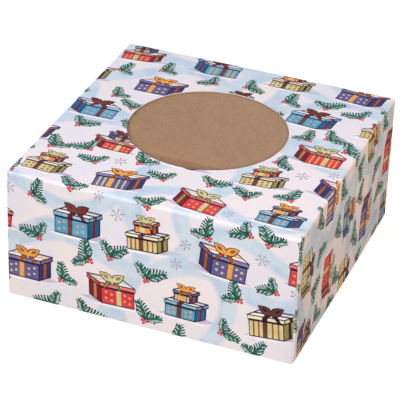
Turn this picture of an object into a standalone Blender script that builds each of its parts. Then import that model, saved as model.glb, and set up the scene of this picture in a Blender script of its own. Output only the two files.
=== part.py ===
"""A carton for four cupcakes.

A folded tray carries a full-depth lid on the crease at the top of its back wall.
The lid has a round window with a clear film glued behind it, and a low card on
the floor of the tray keeps the four cups from sliding.

Units are metres and +Z is up. The origin is on the table, under the middle of
the closed box, and the front of the box faces -Y.
"""

import math

import bmesh
import bpy
from mathutils import Vector

MM = 0.001

# The closed box, outside
BOX_WIDTH = 160 * MM
BOX_DEPTH = 160 * MM
BOX_HEIGHT = 75 * MM

# The board, and the radius that its outer face turns at each crease
BOARD = 0.5 * MM
LID_FOLD_RADIUS = 1.8 * MM
TRAY_FOLD_RADIUS = 1.0 * MM
INSERT_FOLD_RADIUS = 1.0 * MM
FOLD_STEPS = 5

# What stays open between pieces
CREASE_GAP = 0.3 * MM
GLUE_LINE = 0.2 * MM
LID_CLEARANCE = 0.4 * MM
SKIRT_LIFT = 0.5 * MM
WALL_HEADROOM = 1.0 * MM

# The round window in the lid, and the film behind it
WINDOW_DIAMETER = 86.5 * MM
WINDOW_RIGHT_OF_MIDDLE = -1.6 * MM
WINDOW_BEHIND_MIDDLE = 4.2 * MM
WINDOW_STEPS = 96
FILM_THICKNESS = 0.2 * MM
FILM_MARGIN = 9 * MM

# The lid's front ends this far short of the box's sides, and widens to that below its fold
FRONT_EDGE_INSET = 0.7 * MM
FRONT_RELIEF = 4 * MM

# The glued tabs at the corners of the tray and of the lid
TRAY_TAB_LENGTH = 20 * MM
TRAY_TAB_TAPER = 4 * MM
LID_TAB_LENGTH = 18 * MM
LID_TAB_TAPER = 5 * MM

# The card that the cups stand in
INSERT_HEIGHT = 5.5 * MM
INSERT_CLEARANCE = 0.5 * MM
CUP_HOLE_DIAMETER = 53 * MM
CUP_HOLE_STEPS = 64
LEG_TAPER = 2 * MM

# How far a cutter runs past the board, and how near points are joined
CUT_OVERRUN = 2 * MM
MERGE_DISTANCE = 0.001 * MM

# Faces of the box as distances from its middle, worked out from the outside in
LID_SIDE_OUTER = BOX_WIDTH / 2
LID_FRONT_OUTER = BOX_DEPTH / 2
LID_TAB_OUTER = LID_FRONT_OUTER - BOARD - GLUE_LINE
BACK_WALL_OUTER = BOX_DEPTH / 2
BACK_WALL_INNER = BACK_WALL_OUTER - BOARD
TRAY_TAB_OUTER = LID_SIDE_OUTER - BOARD - LID_CLEARANCE
SIDE_WALL_OUTER = TRAY_TAB_OUTER - BOARD - GLUE_LINE
SIDE_WALL_INNER = SIDE_WALL_OUTER - BOARD
FRONT_WALL_OUTER = LID_TAB_OUTER - BOARD - LID_CLEARANCE
FRONT_WALL_INNER = FRONT_WALL_OUTER - BOARD

# Where a flat panel ends, one crease gap short of the fold beside it
LID_FLAT_SIDE = LID_SIDE_OUTER - LID_FOLD_RADIUS - CREASE_GAP
LID_FLAT_FRONT = LID_FRONT_OUTER - LID_FOLD_RADIUS - CREASE_GAP
FRONT_SKIRT_SIDE = LID_SIDE_OUTER - FRONT_EDGE_INSET
TRAY_CORNER_START = TRAY_TAB_OUTER - TRAY_FOLD_RADIUS
FLOOR_SIDE = SIDE_WALL_OUTER - TRAY_FOLD_RADIUS - CREASE_GAP
FLOOR_FRONT = FRONT_WALL_OUTER - TRAY_FOLD_RADIUS - CREASE_GAP
FLOOR_BACK = BACK_WALL_OUTER - TRAY_FOLD_RADIUS - CREASE_GAP

# Heights, up from the table
LID_UNDERSIDE = BOX_HEIGHT - BOARD
WALL_TOP = LID_UNDERSIDE - WALL_HEADROOM
BACK_WALL_TOP = LID_UNDERSIDE - CREASE_GAP
SKIRT_DEPTH = BOX_HEIGHT - SKIRT_LIFT
FILM_TOP = LID_UNDERSIDE - GLUE_LINE
INSERT_BASE = BOARD + CREASE_GAP
INSERT_TOP = INSERT_BASE + INSERT_HEIGHT

# The lid turns about the middle of the board, on the crease along its back edge
HINGE = Vector((0, BACK_WALL_OUTER - BOARD / 2, BOX_HEIGHT - BOARD / 2))

# The insert's outside, as distances from the middle of the box
INSERT_SIDE = SIDE_WALL_INNER - INSERT_CLEARANCE
INSERT_FRONT = FRONT_WALL_INNER - INSERT_CLEARANCE
INSERT_BACK = BACK_WALL_INNER - INSERT_CLEARANCE
INSERT_MIDDLE = (INSERT_BACK - INSERT_FRONT) / 2
DECK_EDGE = INSERT_FOLD_RADIUS + CREASE_GAP

BOX_MIDDLE = Vector((0, 0, BOX_HEIGHT / 2))
RIGHT = Vector((1, 0, 0))
BACK = Vector((0, 1, 0))
UP = Vector((0, 0, 1))

# Colour, roughness and see-through share of each finish
PRINTED = ((0.85, 0.77, 0.80), 0.55, 1.0)
KRAFT = ((0.42, 0.27, 0.17), 0.85, 1.0)
CLEAR = ((0.95, 0.97, 1.0), 0.08, 0.15)


def clear_scene():
    for thing in list(bpy.data.objects):
        bpy.data.objects.remove(thing, do_unlink=True)


def make_material(name, finish):
    """A Principled material with the finish's colour, roughness and alpha."""
    colour, roughness, alpha = finish
    material = bpy.data.materials.new(name)
    material.use_nodes = True
    shader = material.node_tree.nodes["Principled BSDF"]
    shader.inputs["Base Color"].default_value = (*colour, 1.0)
    shader.inputs["Roughness"].default_value = roughness
    shader.inputs["Metallic"].default_value = 0.0
    shader.inputs["Alpha"].default_value = alpha
    material.diffuse_color = (*colour, alpha)
    return material


def make_carrier(name, place):
    """An empty that a whole body hangs on, on the axis that the body moves about."""
    empty = bpy.data.objects.new(name, None)
    empty.location = place
    bpy.context.scene.collection.objects.link(empty)
    return empty


def add_piece(name, bm, carrier, finishes):
    """Turns a finished bmesh into a named object whose origin is its carrier's.

    With two finishes, the first is on the faces that look away from the middle
    of the box and the second on the faces that look towards it.
    """
    bmesh.ops.remove_doubles(bm, verts=bm.verts[:], dist=MERGE_DISTANCE)
    bmesh.ops.recalc_face_normals(bm, faces=bm.faces[:])
    for face in bm.faces:
        looks_in = face.normal.dot(BOX_MIDDLE - face.calc_center_median()) > 0
        face.material_index = int(looks_in) if len(finishes) > 1 else 0
    bmesh.ops.translate(bm, vec=-carrier.location, verts=bm.verts[:])
    mesh = bpy.data.meshes.new(name)
    bm.to_mesh(mesh)
    bm.free()
    for number, finish in enumerate(finishes):
        side = ("_outside", "_inside")[number] if len(finishes) > 1 else ""
        mesh.materials.append(make_material(name + side, finish))
    mesh.shade_smooth()
    mesh.set_sharp_from_angle(angle=math.radians(30))
    piece = bpy.data.objects.new(name, mesh)
    piece.parent = carrier
    bpy.context.scene.collection.objects.link(piece)
    return piece


def add_cutter(name, carrier, radius, steps, centres, low, high):
    """Upright cylinders, in one hidden object, that Booleans take away."""
    bm = bmesh.new()
    for centre in centres:
        made = bmesh.ops.create_cone(
            bm,
            cap_ends=True,
            segments=steps,
            radius1=radius,
            radius2=radius,
            depth=high - low,
        )
        bmesh.ops.translate(bm, vec=centre + UP * (low + high) / 2, verts=made["verts"])
    cutter = add_piece(name, bm, carrier, [KRAFT])
    cutter.hide_render = True
    cutter.display_type = "WIRE"
    return cutter


def cut_away(piece, cutter):
    """Cuts the cutter's shape out of a piece."""
    modifier = piece.modifiers.new("cut", "BOOLEAN")
    modifier.operation = "DIFFERENCE"
    modifier.object = cutter


def quarter_turn(centre, radius):
    """A quarter circle about (centre, centre), from its lowest point to its leftmost."""
    turns = [math.radians(270 - 90 * step / FOLD_STEPS) for step in range(FOLD_STEPS + 1)]
    return [(centre + radius * math.cos(t), centre + radius * math.sin(t)) for t in turns]


def fold_outline(radius, reach):
    """The section of board that leaves a flat panel, turns square and runs on.

    Each point is its depth in from the outer face and its run from the flat
    panel's outer face. The run ends at `reach`.
    """
    outer = quarter_turn(radius, radius)
    inner = quarter_turn(radius, radius - BOARD)
    return outer + [(0, reach), (BOARD, reach)] + inner[::-1]


def section_face(bm, outline, origin, inward, run):
    """Draws an outline as one face, in the plane of `inward` and `run`."""
    corners = [origin + inward * depth + run * length for depth, length in outline]
    return bm.faces.new([bm.verts.new(corner) for corner in corners])


def sweep_straight(bm, face, step):
    """Extrudes a face by `step` and returns the face at the far end."""
    grown = bmesh.ops.extrude_face_region(bm, geom=[face])["geom"]
    moved = [part for part in grown if isinstance(part, bmesh.types.BMVert)]
    bmesh.ops.translate(bm, vec=step, verts=moved)
    return next(part for part in grown if isinstance(part, bmesh.types.BMFace))


def plate(low, high):
    """A flat plate between two opposite corners."""
    bm = bmesh.new()
    made = bmesh.ops.create_cube(bm, size=1)
    bmesh.ops.scale(bm, vec=high - low, verts=made["verts"])
    bmesh.ops.translate(bm, vec=(low + high) / 2, verts=made["verts"])
    return bm


def slice_off(bm, point, outward):
    """Cuts away all that lies beyond a plane and closes the cut."""
    everything = bm.verts[:] + bm.edges[:] + bm.faces[:]
    cut = bmesh.ops.bisect_plane(
        bm,
        geom=everything,
        dist=MERGE_DISTANCE,
        plane_co=point,
        plane_no=outward,
        clear_outer=True,
    )["geom_cut"]
    rim = [part for part in cut if isinstance(part, bmesh.types.BMEdge)]
    bmesh.ops.holes_fill(bm, edges=rim)


def folded_wall(outward, distance, base, run, reach, radius, low, high):
    """A wall that turns out of a flat panel at its crease.

    Its outer face lies at `distance` along `outward`. It leaves the flat panel
    at the height `base` and runs along `run`, and spans from `low` to `high`
    sideways.
    """
    along = RIGHT if outward.x == 0 else BACK
    bm = bmesh.new()
    origin = outward * distance + UP * base + along * low
    start = section_face(bm, fold_outline(radius, reach), origin, -outward, run)
    sweep_straight(bm, start, along * (high - low))
    return bm


def tapered_tab(corner, inward, run, reach, radius, bottom, top, taper):
    """A glue tab that turns round an upright crease and narrows to its free end.

    `corner` is where the outer faces of the wall and of the tab would meet.
    The tab lies across `inward` and reaches along `run`.
    """
    bm = bmesh.new()
    origin = corner + UP * bottom
    start = section_face(bm, fold_outline(radius, reach), origin, inward, run)
    sweep_straight(bm, start, UP * (top - bottom))
    crease = corner + run * radius
    lean = run * taper
    rise = UP * (reach - radius)
    slice_off(bm, crease + UP * top, lean + rise)
    slice_off(bm, crease + UP * bottom, lean - rise)
    return bm


def build_tray(carrier):
    """The floor, four walls and four corner tabs that hold them square."""
    finishes = [PRINTED, KRAFT]
    low = Vector((-FLOOR_SIDE, -FLOOR_FRONT, 0))
    high = Vector((FLOOR_SIDE, FLOOR_BACK, BOARD))
    add_piece("floor_panel", plate(low, high), carrier, finishes)

    end_half = TRAY_CORNER_START - CREASE_GAP
    ends = (
        ("front", -BACK, FRONT_WALL_OUTER, WALL_TOP),
        ("back", BACK, BACK_WALL_OUTER, BACK_WALL_TOP),
    )
    for name, outward, distance, top in ends:
        bm = folded_wall(
            outward, distance, 0, UP, top, TRAY_FOLD_RADIUS, -end_half, end_half
        )
        add_piece(name + "_wall", bm, carrier, finishes)

    sides = (("left", -RIGHT), ("right", RIGHT))
    for name, outward in sides:
        bm = folded_wall(
            outward,
            SIDE_WALL_OUTER,
            0,
            UP,
            WALL_TOP,
            TRAY_FOLD_RADIUS,
            -FLOOR_FRONT,
            FLOOR_BACK,
        )
        add_piece(name + "_wall", bm, carrier, finishes)

    bottom = TRAY_FOLD_RADIUS + CREASE_GAP
    top = BOX_HEIGHT - LID_FOLD_RADIUS - CREASE_GAP
    for end_name, end_outward, distance, _ in ends:
        for side_name, side_outward in sides:
            bm = tapered_tab(
                side_outward * TRAY_TAB_OUTER + end_outward * distance,
                -side_outward,
                -end_outward,
                TRAY_TAB_LENGTH,
                TRAY_FOLD_RADIUS,
                bottom,
                top,
                TRAY_TAB_TAPER,
            )
            name = f"{end_name}_{side_name}_tray_tab"
            add_piece(name, bm, carrier, finishes)


def lid_top():
    """The lid's flat top, with a half-round back edge that rolls on the crease."""
    half = BOARD / 2
    steps = 2 * FOLD_STEPS
    turns = [math.radians(180 * step / steps - 90) for step in range(steps + 1)]
    nose = [(half * math.cos(turn), half * math.sin(turn)) for turn in turns]
    front = -LID_FLAT_FRONT - HINGE.y
    outline = nose + [(front, half), (front, -half)]
    bm = bmesh.new()
    start = section_face(bm, outline, HINGE - RIGHT * LID_FLAT_SIDE, BACK, UP)
    sweep_straight(bm, start, RIGHT * 2 * LID_FLAT_SIDE)
    return bm


def lid_front_skirt():
    """The front of the lid, which covers the folds where the sides turn the corners.

    It leaves the top between the side folds. Below its own fold a slanted
    relief on each side lets it widen past them.
    """
    bm = folded_wall(
        -BACK,
        LID_FRONT_OUTER,
        BOX_HEIGHT,
        -UP,
        SKIRT_DEPTH,
        LID_FOLD_RADIUS,
        -FRONT_SKIRT_SIDE,
        FRONT_SKIRT_SIDE,
    )
    drop = LID_FOLD_RADIUS + FRONT_RELIEF
    widening = FRONT_SKIRT_SIDE - LID_FLAT_SIDE
    for outward in (-RIGHT, RIGHT):
        fold_end = outward * LID_FLAT_SIDE + UP * BOX_HEIGHT
        slice_off(bm, fold_end, outward * drop + UP * widening)
    return bm


def lid_side_skirt(outward):
    """A side of the lid: folded down from the top, then round the front corner."""
    bm = bmesh.new()
    origin = outward * LID_SIDE_OUTER + BACK * BACK_WALL_OUTER + UP * BOX_HEIGHT
    outline = fold_outline(LID_FOLD_RADIUS, SKIRT_DEPTH)
    start = section_face(bm, outline, origin, -outward, -UP)
    corner_start = -LID_TAB_OUTER + LID_FOLD_RADIUS
    end = sweep_straight(bm, start, BACK * (corner_start - BACK_WALL_OUTER))
    pivot = outward * (LID_SIDE_OUTER - LID_FOLD_RADIUS) + BACK * corner_start
    bmesh.ops.spin(
        bm,
        geom=[end, *end.edges, *end.verts],
        cent=pivot,
        axis=UP,
        angle=-math.radians(90) * outward.x,
        steps=FOLD_STEPS,
    )
    return bm


def lid_corner_tab(outward):
    """The tab that carries on from a side skirt and is glued behind the front."""
    outer_end = LID_SIDE_OUTER - LID_FOLD_RADIUS - CREASE_GAP
    inner_end = outer_end - LID_TAB_LENGTH
    top = BOX_HEIGHT - LID_FOLD_RADIUS - CREASE_GAP
    outline = (
        (outer_end, SKIRT_LIFT),
        (inner_end, SKIRT_LIFT + LID_TAB_TAPER),
        (inner_end, top - LID_TAB_TAPER),
        (outer_end, top),
    )
    bm = bmesh.new()
    start = section_face(bm, outline, -BACK * LID_TAB_OUTER, outward, UP)
    sweep_straight(bm, start, BACK * BOARD)
    return bm


def build_lid(carrier):
    """The top, its window film, three skirts and two corner tabs."""
    finishes = [PRINTED, KRAFT]
    window = RIGHT * WINDOW_RIGHT_OF_MIDDLE + BACK * WINDOW_BEHIND_MIDDLE
    top_panel = add_piece("lid_top_panel", lid_top(), carrier, finishes)
    cutter = add_cutter(
        "window_cutter",
        carrier,
        WINDOW_DIAMETER / 2,
        WINDOW_STEPS,
        [window],
        LID_UNDERSIDE - CUT_OVERRUN,
        BOX_HEIGHT + CUT_OVERRUN,
    )
    cut_away(top_panel, cutter)

    film_half = WINDOW_DIAMETER / 2 + FILM_MARGIN
    reach = (RIGHT + BACK) * film_half
    low = window - reach + UP * (FILM_TOP - FILM_THICKNESS)
    high = window + reach + UP * FILM_TOP
    add_piece("window_film", plate(low, high), carrier, [CLEAR])

    add_piece("lid_front_skirt", lid_front_skirt(), carrier, finishes)
    for name, outward in (("left", -RIGHT), ("right", RIGHT)):
        add_piece(f"lid_{name}_skirt", lid_side_skirt(outward), carrier, finishes)
        add_piece(f"lid_{name}_corner_tab", lid_corner_tab(outward), carrier, finishes)


def build_insert(carrier):
    """A deck with a hole in the middle of each quarter, on four folded legs."""
    low = Vector((-INSERT_SIDE, -INSERT_FRONT, INSERT_TOP - BOARD)) + (RIGHT + BACK) * DECK_EDGE
    high = Vector((INSERT_SIDE, INSERT_BACK, INSERT_TOP)) - (RIGHT + BACK) * DECK_EDGE
    deck = add_piece("insert_deck", plate(low, high), carrier, [KRAFT])
    quarters = [
        Vector((across * INSERT_SIDE / 2, INSERT_MIDDLE + along * (INSERT_BACK + INSERT_FRONT) / 4, 0))
        for across in (-1, 1)
        for along in (-1, 1)
    ]
    cutter = add_cutter(
        "cup_hole_cutter",
        carrier,
        CUP_HOLE_DIAMETER / 2,
        CUP_HOLE_STEPS,
        quarters,
        INSERT_TOP - BOARD - CUT_OVERRUN,
        INSERT_TOP + CUT_OVERRUN,
    )
    cut_away(deck, cutter)

    across = (-INSERT_SIDE + DECK_EDGE, INSERT_SIDE - DECK_EDGE)
    along = (-INSERT_FRONT + DECK_EDGE, INSERT_BACK - DECK_EDGE)
    legs = (
        ("front", -BACK, INSERT_FRONT, across),
        ("back", BACK, INSERT_BACK, across),
        ("left", -RIGHT, INSERT_SIDE, along),
        ("right", RIGHT, INSERT_SIDE, along),
    )
    for name, outward, distance, (start, end) in legs:
        bm = folded_wall(
            outward,
            distance,
            INSERT_TOP,
            -UP,
            INSERT_HEIGHT,
            INSERT_FOLD_RADIUS,
            start,
            end,
        )
        sideways = RIGHT if outward.x == 0 else BACK
        for edge, direction in ((start, -1), (end, 1)):
            crease = UP * (INSERT_TOP - INSERT_FOLD_RADIUS) + sideways * edge
            run = INSERT_HEIGHT - INSERT_FOLD_RADIUS
            slice_off(bm, crease, sideways * direction * run - UP * LEG_TAPER)
        add_piece(f"insert_{name}_leg", bm, carrier, [KRAFT])


def main():
    clear_scene()
    build_tray(make_carrier("tray_middle", Vector((0, 0, 0))))
    build_lid(make_carrier("lid_hinge_axis", HINGE))
    build_insert(make_carrier("insert_lift_axis", BACK * INSERT_MIDDLE + UP * INSERT_BASE))


main()
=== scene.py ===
# %% [markdown]
# # A printed carton for four cupcakes
#
# The real box is one sheet of folding boxboard, coated and printed on one face and bare
# brown kraft on the other. A press prints the flat sheet, a die cuts and creases it, and
# a folding machine bends it up and glues the corner tabs.
#
# It could be modelled panel by panel with a picture on each. This lesson works in the
# maker's order instead: paint the flat sheet, cut the boards out of it, give them their
# thickness, then bend every point at the creases. The print then runs round each corner
# as it does on the real box, and no picture file is needed.
#
# The flat sheet is measured in millimetres. Folding turns it into metres.

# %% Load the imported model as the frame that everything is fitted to
import bisect
import cmath
import math
import random

import bmesh
import bpy
from mathutils import Matrix, Vector, geometry


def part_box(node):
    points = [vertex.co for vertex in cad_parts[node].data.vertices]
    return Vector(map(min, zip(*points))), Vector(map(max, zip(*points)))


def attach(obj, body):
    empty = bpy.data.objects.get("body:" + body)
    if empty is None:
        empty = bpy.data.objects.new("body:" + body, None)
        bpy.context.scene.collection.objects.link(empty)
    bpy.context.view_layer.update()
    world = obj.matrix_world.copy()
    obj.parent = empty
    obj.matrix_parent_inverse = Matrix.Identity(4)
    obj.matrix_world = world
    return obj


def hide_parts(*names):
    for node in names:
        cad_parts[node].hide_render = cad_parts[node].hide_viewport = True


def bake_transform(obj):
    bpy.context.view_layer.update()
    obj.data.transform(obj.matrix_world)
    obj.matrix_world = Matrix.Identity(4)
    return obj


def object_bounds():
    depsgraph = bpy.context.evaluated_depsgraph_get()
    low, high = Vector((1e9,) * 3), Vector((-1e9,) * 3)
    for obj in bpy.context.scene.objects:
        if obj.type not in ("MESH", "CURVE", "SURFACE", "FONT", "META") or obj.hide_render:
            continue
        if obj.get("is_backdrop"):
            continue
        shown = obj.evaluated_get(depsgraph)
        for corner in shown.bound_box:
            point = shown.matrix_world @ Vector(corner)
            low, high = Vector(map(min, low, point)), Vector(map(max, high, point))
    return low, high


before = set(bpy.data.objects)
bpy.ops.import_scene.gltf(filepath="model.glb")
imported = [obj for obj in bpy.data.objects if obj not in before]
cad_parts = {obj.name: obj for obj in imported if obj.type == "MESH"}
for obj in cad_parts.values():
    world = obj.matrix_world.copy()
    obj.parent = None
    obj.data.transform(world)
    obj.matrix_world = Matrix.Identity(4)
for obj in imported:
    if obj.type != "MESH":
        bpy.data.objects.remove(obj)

cad_low, cad_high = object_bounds()
print("CAD box, mm:", [round(side * 1000, 1) for side in cad_high - cad_low])

# %% [markdown]
# ## The sizes, read off the CAD nodes
#
# Each crease turns the board through a right angle. The lid is creased on the outside of
# the tray, so its folds are rounder than the tray's.

# %% Measure the CAD nodes in millimetres
MM = 0.001
BOARD = 0.5
LID_FOLD = 1.8
TRAY_FOLD = 1.0
CREASE_GAP = 0.3
QUARTER = math.pi / 2


def reach_of(node, axis, end):
    """How far a CAD node goes along an axis, at its low end (0) or its high end (1), in mm."""
    return round(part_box(node)[end][axis] / MM, 3)


TOP = reach_of("lid_top_panel", 2, 1)
LID_FOOT = reach_of("lid_front_skirt", 2, 0)
LID_SIDE = reach_of("lid_right_skirt", 0, 1) - LID_FOLD
LID_FRONT = -reach_of("lid_front_skirt", 1, 0) - LID_FOLD
LID_CORNER = -reach_of("lid_right_skirt", 1, 0) - LID_FOLD
LID_BACK = reach_of("lid_right_skirt", 1, 1)
LID_FRONT_END = reach_of("lid_front_skirt", 0, 1)
TRAY_SIDE = reach_of("right_wall", 0, 1) - TRAY_FOLD
TRAY_FRONT = -reach_of("front_wall", 1, 0) - TRAY_FOLD
TRAY_BACK = reach_of("back_wall", 1, 1) - TRAY_FOLD
TRAY_CORNER = reach_of("back_right_tray_tab", 0, 1) - TRAY_FOLD
print("lid creases at", LID_SIDE, LID_FRONT, "tray creases at", TRAY_SIDE, TRAY_FRONT, TRAY_BACK)

# %% [markdown]
# ## How a board bends
#
# Cardboard doesn't stretch, so a crease only turns it. The outer face rolls round a
# radius for a quarter turn and then runs straight on. A point deeper in the board rolls
# round a smaller radius. These two functions are all the folding that the box needs.

# %% Bend at one crease
def bend(run, radius, depth):
    """A point `run` past the start of a crease, as (how far out, how far down) it lands."""
    turn = min(max(run, 0) / radius, QUARTER)
    past = max(run - radius * QUARTER, 0)
    out = min(run, 0) + (radius - depth) * math.sin(turn)
    return out, radius - (radius - depth) * math.cos(turn) + past


def turn_corner(out, run, radius):
    """A standing wall that goes round an upright crease, as (along, out) from the crease."""
    turn = min(max(run, 0) / radius, QUARTER)
    past = max(run - radius * QUARTER, 0)
    return min(run, 0) + out * math.sin(turn), out * math.cos(turn) - past


print("a 1.8 mm crease uses", round(LID_FOLD * QUARTER, 2), "mm of board")

# %% [markdown]
# ## Where each board lies on the flat sheet
#
# Seen from the printed face, u runs to the right and v to the back. The lid's top is in
# the middle of its skirts. Behind it come the hinge crease, the back wall, the floor and
# the front wall in one strip, with the side walls on the floor's left and right.

# %% The strip of boards behind the lid
HINGE_START = TRAY_BACK + TRAY_FOLD - BOARD
HINGE_FROM, HINGE_TO = HINGE_START - CREASE_GAP, HINGE_START + BOARD * QUARTER + CREASE_GAP
WALL_HEIGHT = reach_of("front_wall", 2, 1)
BACK_HEIGHT = TOP - BOARD - CREASE_GAP
TRAY_LINE = HINGE_TO + TRAY_BACK + TRAY_FOLD * QUARTER + BACK_HEIGHT - TRAY_FOLD


def tray_v(q):
    """Sheet position of a point q behind the middle of the floor, unrolled up the back wall."""
    return TRAY_LINE - q


def wall_q(crease, height):
    """How far from the middle of the floor a wall's point at this height lies, unrolled."""
    return crease + TRAY_FOLD * QUARTER + height - TRAY_FOLD


LID_EDGE = LID_FOLD * QUARTER + TOP - LID_FOLD - LID_FOOT
print("the sheet is", round(2 * (LID_SIDE + LID_EDGE)), "mm wide and",
      round(tray_v(-wall_q(TRAY_FRONT, WALL_HEIGHT)) + LID_FRONT + LID_EDGE), "mm long")

# %% [markdown]
# Each fold takes a point of the sheet and its depth in the board, and says where it
# stands on the box. A board also bows a little between its creases, as thin card does,
# which moves a point along its depth. A side skirt is free at the back, so its hump runs
# on past that edge and the edge itself stands out a little.

# %% The four ways that a board folds
film_low, film_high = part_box("window_film")
WINDOW_MIDDLE = complex(film_low.x + film_high.x, film_low.y + film_high.y) / 2 / MM
FILM_MARGIN = 9
WINDOW_RADIUS = (film_high.x - film_low.x) / 2 / MM - FILM_MARGIN
BURR_HEIGHT, BURR_WIDTH = 0.22, 0.7
LID_BOW, SKIRT_BOW, SKIRT_PAST = 0.35, 0.5, 40


def swell(position, start, end):
    """A hump over start to end that is nought at both ends."""
    share = min(max((position - start) / (end - start), 0), 1)
    return math.sin(math.pi * share) ** 2


def burr(point):
    """How far the die's knife has turned up the rim of the window at this point."""
    outside = abs(point - WINDOW_MIDDLE) - WINDOW_RADIUS
    return BURR_HEIGHT * max(0.0, 1 - max(outside, 0) / BURR_WIDTH) ** 2


def fold_lid_middle(u, v, depth):
    """The lid's top, its front skirt and the hinge crease."""
    if v > HINGE_START - 1:
        out, fall = bend(v - HINGE_START, BOARD, depth)
        return u, HINGE_START + out, TOP - fall
    if v > -LID_FRONT:
        depth += LID_BOW * swell(u, -LID_SIDE, LID_SIDE) * swell(v, -LID_FRONT, HINGE_FROM)
        depth -= burr(complex(u, v))
    else:
        slack = min((-v - LID_FRONT) / LID_EDGE, 1)
        depth -= LID_BOW * slack * swell(u, -LID_SIDE, LID_SIDE)
    out, fall = bend(-v - LID_FRONT, LID_FOLD, depth)
    return u, -LID_FRONT - out, TOP - fall


def fold_lid_side(u, v, depth):
    """A side skirt, the front corner that it turns, and the tab behind the front skirt."""
    run = abs(u) - LID_SIDE
    depth -= SKIRT_BOW * min(run / LID_EDGE, 1) * swell(v, -LID_CORNER, LID_BACK + SKIRT_PAST)
    out, fall = bend(run, LID_FOLD, depth)
    along, out = turn_corner(out, -v - LID_CORNER, LID_FOLD)
    return math.copysign(LID_SIDE + out, u), -LID_CORNER - along, TOP - fall


def fold_tray_strip(u, v, depth):
    """The floor, the front and back walls, and the tabs round their ends."""
    q = TRAY_LINE - v
    crease = TRAY_BACK if q > 0 else TRAY_FRONT
    out, rise = bend(abs(q) - crease, TRAY_FOLD, depth)
    along, out = turn_corner(out, abs(u) - TRAY_CORNER, TRAY_FOLD) if rise > TRAY_FOLD else (
        abs(u) - TRAY_CORNER, out)
    return math.copysign(TRAY_CORNER + along, u), math.copysign(crease + out, q), rise


def fold_tray_side(u, v, depth):
    """A side wall of the tray."""
    out, rise = bend(abs(u) - TRAY_SIDE, TRAY_FOLD, depth)
    return math.copysign(TRAY_SIDE + out, u), TRAY_LINE - v, rise


print("a lid corner folds to", [round(x, 1) for x in fold_lid_side(120, -90, 0)])

# %% [markdown]
# ## The die's outlines
#
# The die is a list of closed outlines, one for each board. An outline is a list of
# complex numbers, u + v j, because turning and moving a shape is then one product and
# one sum. Glue tabs taper to their free end so that they never catch in the corner.

# %% Outlines of the boards
def oblong(left, right, low, high):
    return [complex(left, low), complex(right, low), complex(right, high), complex(left, high)]


def mirrored(outline):
    return [complex(-point.real, point.imag) for point in outline]


LID_TAB, LID_TAB_TAPER = 18, 5
lid_tab_turn = -LID_CORNER - LID_FOLD * QUARTER
lid_tab_end = lid_tab_turn - LID_TAB
lid_tab_top = LID_SIDE + LID_FOLD * QUARTER + CREASE_GAP
lid_side = [
    complex(LID_SIDE, LID_BACK), complex(LID_SIDE, lid_tab_turn),
    complex(lid_tab_top, lid_tab_turn), complex(lid_tab_top + LID_TAB_TAPER, lid_tab_end),
    complex(LID_SIDE + LID_EDGE - LID_TAB_TAPER, lid_tab_end),
    complex(LID_SIDE + LID_EDGE, lid_tab_turn), complex(LID_SIDE + LID_EDGE, LID_BACK),
]
FRONT_RELIEF = 4
lid_front_wide = -LID_FRONT - LID_FOLD * QUARTER - FRONT_RELIEF
lid_front_half = [
    complex(LID_SIDE, -LID_FRONT), complex(LID_SIDE, -LID_FRONT - LID_FOLD * QUARTER),
    complex(LID_FRONT_END, lid_front_wide), complex(LID_FRONT_END, -LID_FRONT - LID_EDGE),
]
TRAY_TAB, TRAY_TAB_TAPER = 19, 4
tray_tab_end = TRAY_CORNER + TRAY_FOLD * QUARTER + TRAY_TAB
tab_low, tab_high = reach_of("back_right_tray_tab", 2, 0), reach_of("back_right_tray_tab", 2, 1)


def tray_end(crease, height, sign):
    """A front or back wall with its two tabs, q being counted by sign."""
    def at(u, z):
        return complex(u, tray_v(sign * wall_q(crease, z)))
    foot = complex(TRAY_CORNER, tray_v(sign * crease))
    right = [foot, at(TRAY_CORNER, tab_low), at(tray_tab_end, tab_low + TRAY_TAB_TAPER),
             at(tray_tab_end, tab_high - TRAY_TAB_TAPER), at(TRAY_CORNER, tab_high),
             at(TRAY_CORNER, height)]
    return right + mirrored(right)[::-1]


boards = {
    "lid_top_board": oblong(-LID_SIDE, LID_SIDE, -LID_FRONT, HINGE_FROM),
    "lid_front_board": lid_front_half + mirrored(lid_front_half)[::-1],
    "lid_right_board": lid_side,
    "lid_left_board": mirrored(lid_side),
    "hinge_crease": oblong(-TRAY_CORNER, TRAY_CORNER, HINGE_FROM, HINGE_TO),
    "tray_back_board": tray_end(TRAY_BACK, BACK_HEIGHT, 1),
    "tray_floor_board": oblong(-TRAY_SIDE, TRAY_SIDE, tray_v(TRAY_BACK), tray_v(-TRAY_FRONT)),
    "tray_front_board": tray_end(TRAY_FRONT, WALL_HEIGHT, -1),
}
side_low, side_high = reach_of("right_wall", 1, 0), reach_of("right_wall", 1, 1)
tray_side = oblong(TRAY_SIDE, wall_q(TRAY_SIDE, WALL_HEIGHT), tray_v(side_high), tray_v(side_low))
boards["tray_right_board"] = tray_side
boards["tray_left_board"] = mirrored(tray_side)
print(len(boards), "boards on the sheet")

# %% [markdown]
# The window is a round hole. The knife turns its rim up a little, so four rings are ruled
# just outside it, among the creases below, to give the board somewhere to bend.

# %% The window
def disc(centre, radius, corners=12):
    return [centre + cmath.rect(radius, math.tau * k / corners) for k in range(corners)]


RIM_CORNERS = 128
holes = [disc(WINDOW_MIDDLE, WINDOW_RADIUS, RIM_CORNERS)]
print("window", round(2 * WINDOW_RADIUS, 1), "mm across at", WINDOW_MIDDLE)

# %% [markdown]
# ## Creases
#
# A crease is a band of the sheet that bends. Lines ruled across it give it somewhere to
# turn. One more line just outside each side of the band keeps the bend's soft shading
# out of the flat panel. The tray's corner creases start just past its folds.

# %% Rule the crease lines
GUARD = 0.6
PAST_FOLD, PAST_SHEET = 2, 400
RINGS = 0.3, 0.65, 1.0, 1.8


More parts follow.
